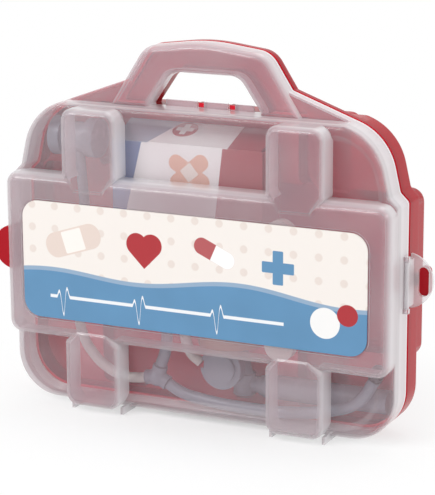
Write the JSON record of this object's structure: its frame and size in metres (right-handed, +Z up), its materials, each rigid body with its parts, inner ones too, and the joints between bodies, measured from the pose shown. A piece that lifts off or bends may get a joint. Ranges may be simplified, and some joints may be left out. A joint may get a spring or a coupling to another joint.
{
  "type": "toy doctor case",
  "caption": "Toy doctor case with a translucent front, red back, top handle, side latches, picture label and play instruments inside.",
  "frame": {"origin": "middle of the case at the bottoms of its feet ribs, in the parting plane", "axes": "+Z up to the handle, +X across the case to the right seen from the front, +Y through the case to the red back"},
  "size_m": [0.302, 0.071, 0.2494],
  "materials": {
    "milky_plastic": "translucent milky moulding",
    "red_plastic": "glossy opaque red moulding",
    "grey_plastic": "smooth grey moulding",
    "white_plastic": "smooth white moulding",
    "dark_plastic": "soft dark plastic",
    "amber_plastic": "translucent amber moulding",
    "clear_plastic": "clear moulding",
    "label_print": "printed glossy card",
    "carton_print": "printed folding carton",
    "steel": "plain steel wire"
  },
  "bodies": {
    "case_back": {"back_shell": "red_plastic", "hinge_pins": "steel", "right_catch": "red_plastic", "first_aid_carton": "carton_print", "carton_flap": "carton_print", "carton_badge": "carton_print", "pill_jar": "amber_plastic", "jar_sticker": "label_print", "syringe_barrel": "clear_plastic", "syringe_nozzle": "white_plastic", "hammer_handle": "grey_plastic", "hammer_head": "grey_plastic", "otoscope_handle": "grey_plastic", "otoscope_head": "grey_plastic", "otoscope_lens": "clear_plastic", "thermometer_body": "white_plastic", "thermometer_face": "label_print", "thermometer_button": "red_plastic", "steth_yoke": "grey_plastic", "steth_arm_low": "grey_plastic", "steth_arm_high": "grey_plastic", "steth_ear_tips": "dark_plastic", "steth_hose": "white_plastic", "chest_piece": "grey_plastic", "chest_disc": "white_plastic", "chest_heart": "red_plastic"},
    "lid": {"front_shell": "milky_plastic", "label_card": "label_print"},
    "right_latch": {"front_latch": "milky_plastic"},
    "left_latch": {"back_latch": "red_plastic"},
    "jar_cap": {"pill_jar_lid": "white_plastic"},
    "plunger": {"syringe_plunger": "red_plastic"}
  },
  "joints": [
    {"name": "lid_hinge", "type": "hinge", "parent": "case_back", "child": "lid", "pos_m": [0, 0, 0.0023], "axis": [1, 0, 0], "range_deg": [0, 120]},
    {"name": "right_latch_pivot", "type": "hinge", "parent": "lid", "child": "right_latch", "pos_m": [0.1379, -0.007, 0.1055], "axis": [0, 0, -1], "range_deg": [0, 25]},
    {"name": "left_latch_pivot", "type": "hinge", "parent": "case_back", "child": "left_latch", "pos_m": [-0.1379, 0.007, 0.1055], "axis": [0, 0, -1], "range_deg": [0, 25]},
    {"name": "jar_cap_turn", "type": "hinge", "parent": "case_back", "child": "jar_cap", "pos_m": [0.014, 0, 0.1168], "axis": [0, 0, 1], "range_deg": [0, 90]},
    {"name": "plunger_slide", "type": "slide", "parent": "case_back", "child": "plunger", "axis": [0, 0, 1], "range_m": [0, 0.02]}
  ]
}
